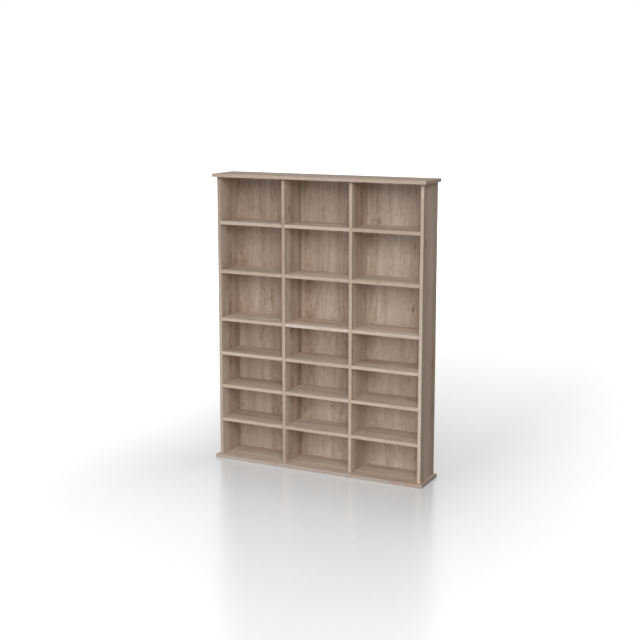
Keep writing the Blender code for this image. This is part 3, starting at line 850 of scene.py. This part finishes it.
def cut_socket(piece, flats, radius, depth):
    """Sinks a socket with flat sides into the piece, from its origin along Z."""
    tool = start_piece(
        "socket_tool", bpy.ops.mesh.primitive_cylinder_add,
        vertices=flats, radius=radius, depth=depth * 2,
    )
    cut = piece.modifiers.new("socket", "BOOLEAN")
    cut.operation = "DIFFERENCE"
    cut.object = tool
    select_only(piece)
    bpy.ops.object.modifier_apply(modifier=cut.name)
    bpy.data.objects.remove(tool)


def copy_piece(piece, name):
    twin = piece.copy()
    twin.data = piece.data.copy()
    twin.name = twin.data.name = name
    bpy.context.scene.collection.objects.link(twin)
    return twin


def make_one_each(pattern, node_prefix, piece_prefix):
    """Pairs of a piece and its CAD node: the pattern itself for the first, copies of it for the rest."""
    nodes = [name for name in sorted(NODES) if name.startswith(node_prefix)]
    names = [node.replace(node_prefix, piece_prefix) for node in nodes]
    pattern.name = pattern.data.name = names[0]
    pieces = [pattern] + [copy_piece(pattern, name) for name in names[1:]]
    return list(zip(pieces, nodes))


def seat(piece, place, turn, material, node):
    """Turns and moves a finished piece to its place, and lets it stand for its CAD node."""
    select_only(piece)
    piece.rotation_euler = turn
    piece.location = place
    bpy.ops.object.transform_apply(location=True, rotation=True, scale=True)
    bpy.ops.object.shade_smooth_by_angle(angle=SMOOTH_BELOW)
    piece.data.materials.clear()
    piece.data.materials.append(material)
    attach(piece, ROOT)
    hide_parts(node)


# Cover caps: a crowned disc on the board's face, with a stem in the cam

CAP_RADIUS = 0.0085
CAP_STAND = 0.0011
CAP_SIDES = 48
CAP_PROFILE = (
    (0.0, CAP_STAND),
    (0.0030, CAP_STAND - 0.00005),
    (0.0056, CAP_STAND - 0.00018),
    (0.0072, CAP_STAND - 0.00036),
    (0.0080, CAP_STAND - 0.00052),
    (0.0084, CAP_STAND - 0.00066),
    (CAP_RADIUS, 0.00034),
    (0.0083, 0.0003),
    (0.0024, 0.0003),
    (0.0022, -0.0010),
    (0.0018, -0.0018),
    (0.0, -0.0018),
)


def add_cover_caps(material):
    pattern = turn_on_lathe("cover_cap", CAP_PROFILE, CAP_SIDES)
    for (cap, node), upright in zip(make_one_each(pattern, "cam_cap_", "cover_cap_"), UPRIGHTS):
        x, y, z = middle_of(node)
        board_low, board_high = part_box(upright)
        faces_right = x > middle_of(upright)[0]
        face = board_high[0] if faces_right else board_low[0]
        turn = (0, pi / 2 if faces_right else -pi / 2, 0)
        seat(cap, (face, y, z), turn, material, node)


# Connecting screws: countersunk head below, smooth shank, threaded core, point above

SCREW_LENGTH = 0.0500
SCREW_SIDES = 32
SCREW_PROFILE = (
    (0.0, 0.0),
    (0.00465, 0.0),
    (0.00495, 0.00012),
    (0.0050, 0.00035),
    (0.00355, 0.0026),
    (0.0035, 0.0030),
    (0.0035, 0.0206),
    (0.0033, 0.0210),
    (0.0025, 0.0218),
    (0.0025, SCREW_LENGTH - 0.0040),
    (0.0010, SCREW_LENGTH - 0.0002),
    (0.0, SCREW_LENGTH),
)
THREAD_CORE = 0.0024
THREAD_CREST = 0.00345
THREAD_PITCH = 0.0022
THREAD_FLANK = THREAD_PITCH * 0.42
THREAD_START = 0.0238
THREAD_TURNS = 10
HEX_FLATS = 6
HEX_RADIUS = 0.0023
HEX_DEPTH = 0.0030


def add_bottom_screws(material):
    pattern = turn_on_lathe("connecting_screw", SCREW_PROFILE, SCREW_SIDES)
    cut_socket(pattern, HEX_FLATS, HEX_RADIUS, HEX_DEPTH)
    thread = wind_thread(
        "thread", THREAD_CORE, THREAD_CREST, THREAD_FLANK,
        THREAD_PITCH, THREAD_START, THREAD_TURNS, SCREW_SIDES,
    )
    join_to(pattern, thread)
    for screw, node in make_one_each(pattern, "bottom_screw_", "connecting_screw_"):
        x, y, _ = middle_of(node)
        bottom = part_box(node)[0][2]
        seat(screw, (x, y, bottom), (0, 0, 0), material, node)


# Panel pins: a low domed head behind, and a point in front

PIN_LENGTH = 0.020
PIN_SIDES = 16
PIN_PROFILE = (
    (0.0, 0.0),
    (0.0009, -0.00006),
    (0.0013, -0.00022),
    (0.0014, -0.00042),
    (0.0013, -0.0006),
    (0.0007, -0.0007),
    (0.0007, -PIN_LENGTH + 0.002),
    (0.0, -PIN_LENGTH),
)


def add_back_pins(material):
    pattern = turn_on_lathe("panel_pin", PIN_PROFILE, PIN_SIDES)
    for pin, node in make_one_each(pattern, "back_pin_", "panel_pin_"):
        x, _, z = middle_of(node)
        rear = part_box(node)[1][1]
        seat(pin, (x, rear, z), (-pi / 2, 0, 0), material, node)


# Studio

# The floor lies just below the rack, so that the two share no plane
FLOOR_LEVEL = -0.0003
FLOOR_SIZE = 60.0
FLOOR_GREYS = ((0.26, 0.26, 0.258), (0.29, 0.29, 0.288))
FLOOR_ROUGHNESS, FLOOR_ROUGHNESS_SPREAD = 0.20, 0.06
FLOOR_IOR = 1.9
FLOOR_STREAKS = Layer(40.0, 2.0)

# How much painted white light the floor shows of itself, against the distance from the rack in metres:
# weakest by the rack, so the floor is painted greyer round it
FLOOR_GLOW = (
    (0.0, 0.325), (0.1, 0.385), (0.2, 0.44), (0.3, 0.49), (0.45, 0.56),
    (0.6, 0.61), (0.9, 0.69), (1.5, 0.84), (2.5, 0.97),
)
GLOW_REACH = 2.5
# The white comes on more slowly before and behind the rack, by these shares of the distance, which paints a
# longer grey before it and a long painted shadow behind it
FRONT_LAG = 0.67
REAR_LAG = 0.19
REAR_LAG_ENDS = 2.4
# Mirrored in a glossy surface, the white shows by this share
GLOSSY_SHARE = 0.4

# Lamps: place, aim, width and height in metres, power in watts, and whether gloss mirrors them
SOFTBOXES = {
    "key_softbox": ((3.73, -8.0, 5.34), RACK_MIDDLE, 5.0, 5.4, 613, True),
    "high_softbox": ((2.11, -4.53, 9.31), RACK_MIDDLE, 5.0, 3.2, 128, True),
    "left_softbox": ((-2.83, -6.06, 8.08), RACK_MIDDLE, 5.0, 3.2, 68, True),
    "side_softbox": ((-7.65, -4.41, 5.34), RACK_MIDDLE, 5.0, 3.2, 160, True),
    "rear_softbox": ((-3.36, 9.22, 2.56), RACK_MIDDLE, 6.0, 3.4, 560, False),
}
CARDS = {
    "floor_card": ((0, -0.75, 0.02), (0, -0.1, 0.5), 1.4, 0.7, 2.9, False),
    "front_card": ((0, -1.3, 0.45), (0, 0, 0.5), 1.8, 0.4, 2.2, False),
}

# Camera, fitted to the edges in the photograph: its focal length and centre row are in pixels
PICTURE = 640
FOCAL_PIXELS = 1192.7
CENTRE_ROW = 284
CAMERA_PLACE = (2.2740, -4.6549, 1.6773)
CAMERA_YAW = radians(26.21)
CAMERA_PITCH = radians(9.24)
SENSOR = 36.0


def floor_finish():
    """A pale, glossy floor: it mirrors the rack softly, keeps its shadow, and fades out to white."""
    material, bench, shader = new_material("studio_floor")
    x, y = bench.split(bench.object_place())[:2]
    streak = bench.grain(FLOOR_STREAKS, x, y, 0.0)
    bench.feed(shader.inputs["Base Color"], bench.mix(streak, *FLOOR_GREYS))
    bench.feed(shader.inputs["Roughness"], bench.weigh(streak, FLOOR_ROUGHNESS_SPREAD, FLOOR_ROUGHNESS))
    shader.inputs["IOR"].default_value = FLOOR_IOR

    # Painted shade: the floor's white light grows with the distance from the rack, so the floor round the
    # rack, and most of all behind it, stays greyer
    beside = bench.past(bench.calc("ABSOLUTE", x), END_REACH)
    before = bench.past(END_FRONT, y)
    behind = bench.past(y, BOARD_REAR)
    further = bench.past(behind, REAR_LAG_ENDS)
    length = bench.add(bench.times(before, FRONT_LAG), bench.times(behind, REAR_LAG), further)
    reach = bench.calc("SQRT", bench.add(bench.times(beside, beside), bench.times(length, length)))
    stops = tuple((far / GLOW_REACH, (level,) * 3) for far, level in FLOOR_GLOW)
    glow = bench.tones(bench.times(reach, 1 / GLOW_REACH), stops)

    ray = bench.put("ShaderNodeLightPath").outputs
    seen = bench.calc("MAXIMUM", ray["Is Camera Ray"], ray["Is Transmission Ray"])
    seen = bench.calc("MAXIMUM", seen, bench.times(ray["Is Glossy Ray"], GLOSSY_SHARE))
    white = bench.put("ShaderNodeEmission", {"Color": glow, "Strength": seen})
    both = bench.put("ShaderNodeAddShader")
    bench.feed_all(both.inputs, (shader.outputs["BSDF"], white.outputs["Emission"]))
    bench.feed(material.node_tree.nodes["Material Output"].inputs["Surface"], both.outputs[0])
    return material


def add_floor(material):
    spot = {"size": FLOOR_SIZE, "location": (0, 0, FLOOR_LEVEL)}
    floor = start_piece("studio_floor", bpy.ops.mesh.primitive_plane_add, **spot)
    floor.data.materials.append(material)
    return floor


def add_lamp(name, place, aim, width, height, power, mirrored):
    light = bpy.data.lights.new(name, "AREA")
    light.shape = "RECTANGLE"
    light.size = width
    light.size_y = height
    light.energy = power
    lamp = bpy.data.objects.new(name, light)
    bpy.context.scene.collection.objects.link(lamp)
    lamp.location = place
    lamp.rotation_euler = (Vector(aim) - Vector(place)).to_track_quat("-Z", "Y").to_euler()
    lamp.visible_camera = False
    lamp.visible_glossy = mirrored
    return lamp


def keep_off_floor(lamp, floor):
    """The small cards light the rack alone, so their edges draw no line on the floor."""
    passed_by = bpy.data.collections.new(lamp.name + "_passes_by")
    passed_by.objects.link(floor)
    passed_by.collection_objects[0].light_linking.link_state = "EXCLUDE"
    lamp.light_linking.receiver_collection = passed_by


def add_world():
    """White air that the camera, gloss and glass see, and that lights nothing else."""
    world = bpy.data.worlds.new("studio_air")
    bpy.context.scene.world = world
    world.use_nodes = True
    bench = Bench(world.node_tree)
    ray = bench.put("ShaderNodeLightPath").outputs
    seen = bench.calc("MAXIMUM", ray["Is Camera Ray"], ray["Is Glossy Ray"])
    seen = bench.calc("MAXIMUM", seen, ray["Is Transmission Ray"])
    backdrop = world.node_tree.nodes["Background"]
    bench.feed(backdrop.inputs["Color"], (1, 1, 1))
    bench.feed(backdrop.inputs["Strength"], seen)


def add_camera():
    lens = bpy.data.cameras.new("photograph_view")
    lens.sensor_width = SENSOR
    lens.lens = FOCAL_PIXELS / PICTURE * SENSOR
    lens.shift_y = (CENTRE_ROW - PICTURE / 2) / PICTURE
    camera = bpy.data.objects.new("photograph_view", lens)
    bpy.context.scene.collection.objects.link(camera)
    camera.location = CAMERA_PLACE
    camera.rotation_euler = (radians(90) - CAMERA_PITCH, 0, CAMERA_YAW)
    bpy.context.scene.camera = camera


def dress_rack():
    dress(SHELVES, shelf_laminate())
    dress(UPRIGHTS, upright_laminate())
    dress(END_BOARDS, end_board_laminate())
    dress(BACKS, backing())
    dress(CAMS, metal("cast_zinc"))
    dress(CAM_BOLTS, metal("bolt_plating"))
    add_cover_caps(cap_plastic())
    add_bottom_screws(metal("screw_plating"))
    add_back_pins(metal("pin_wire"))


def build_studio():
    floor = add_floor(floor_finish())
    add_world()
    for name, facts in SOFTBOXES.items():
        add_lamp(name, *facts)
    for name, facts in CARDS.items():
        keep_off_floor(add_lamp(name, *facts), floor)
    add_camera()


dress_rack()
build_studio()
bpy.context.scene.view_settings.view_transform = "Standard"
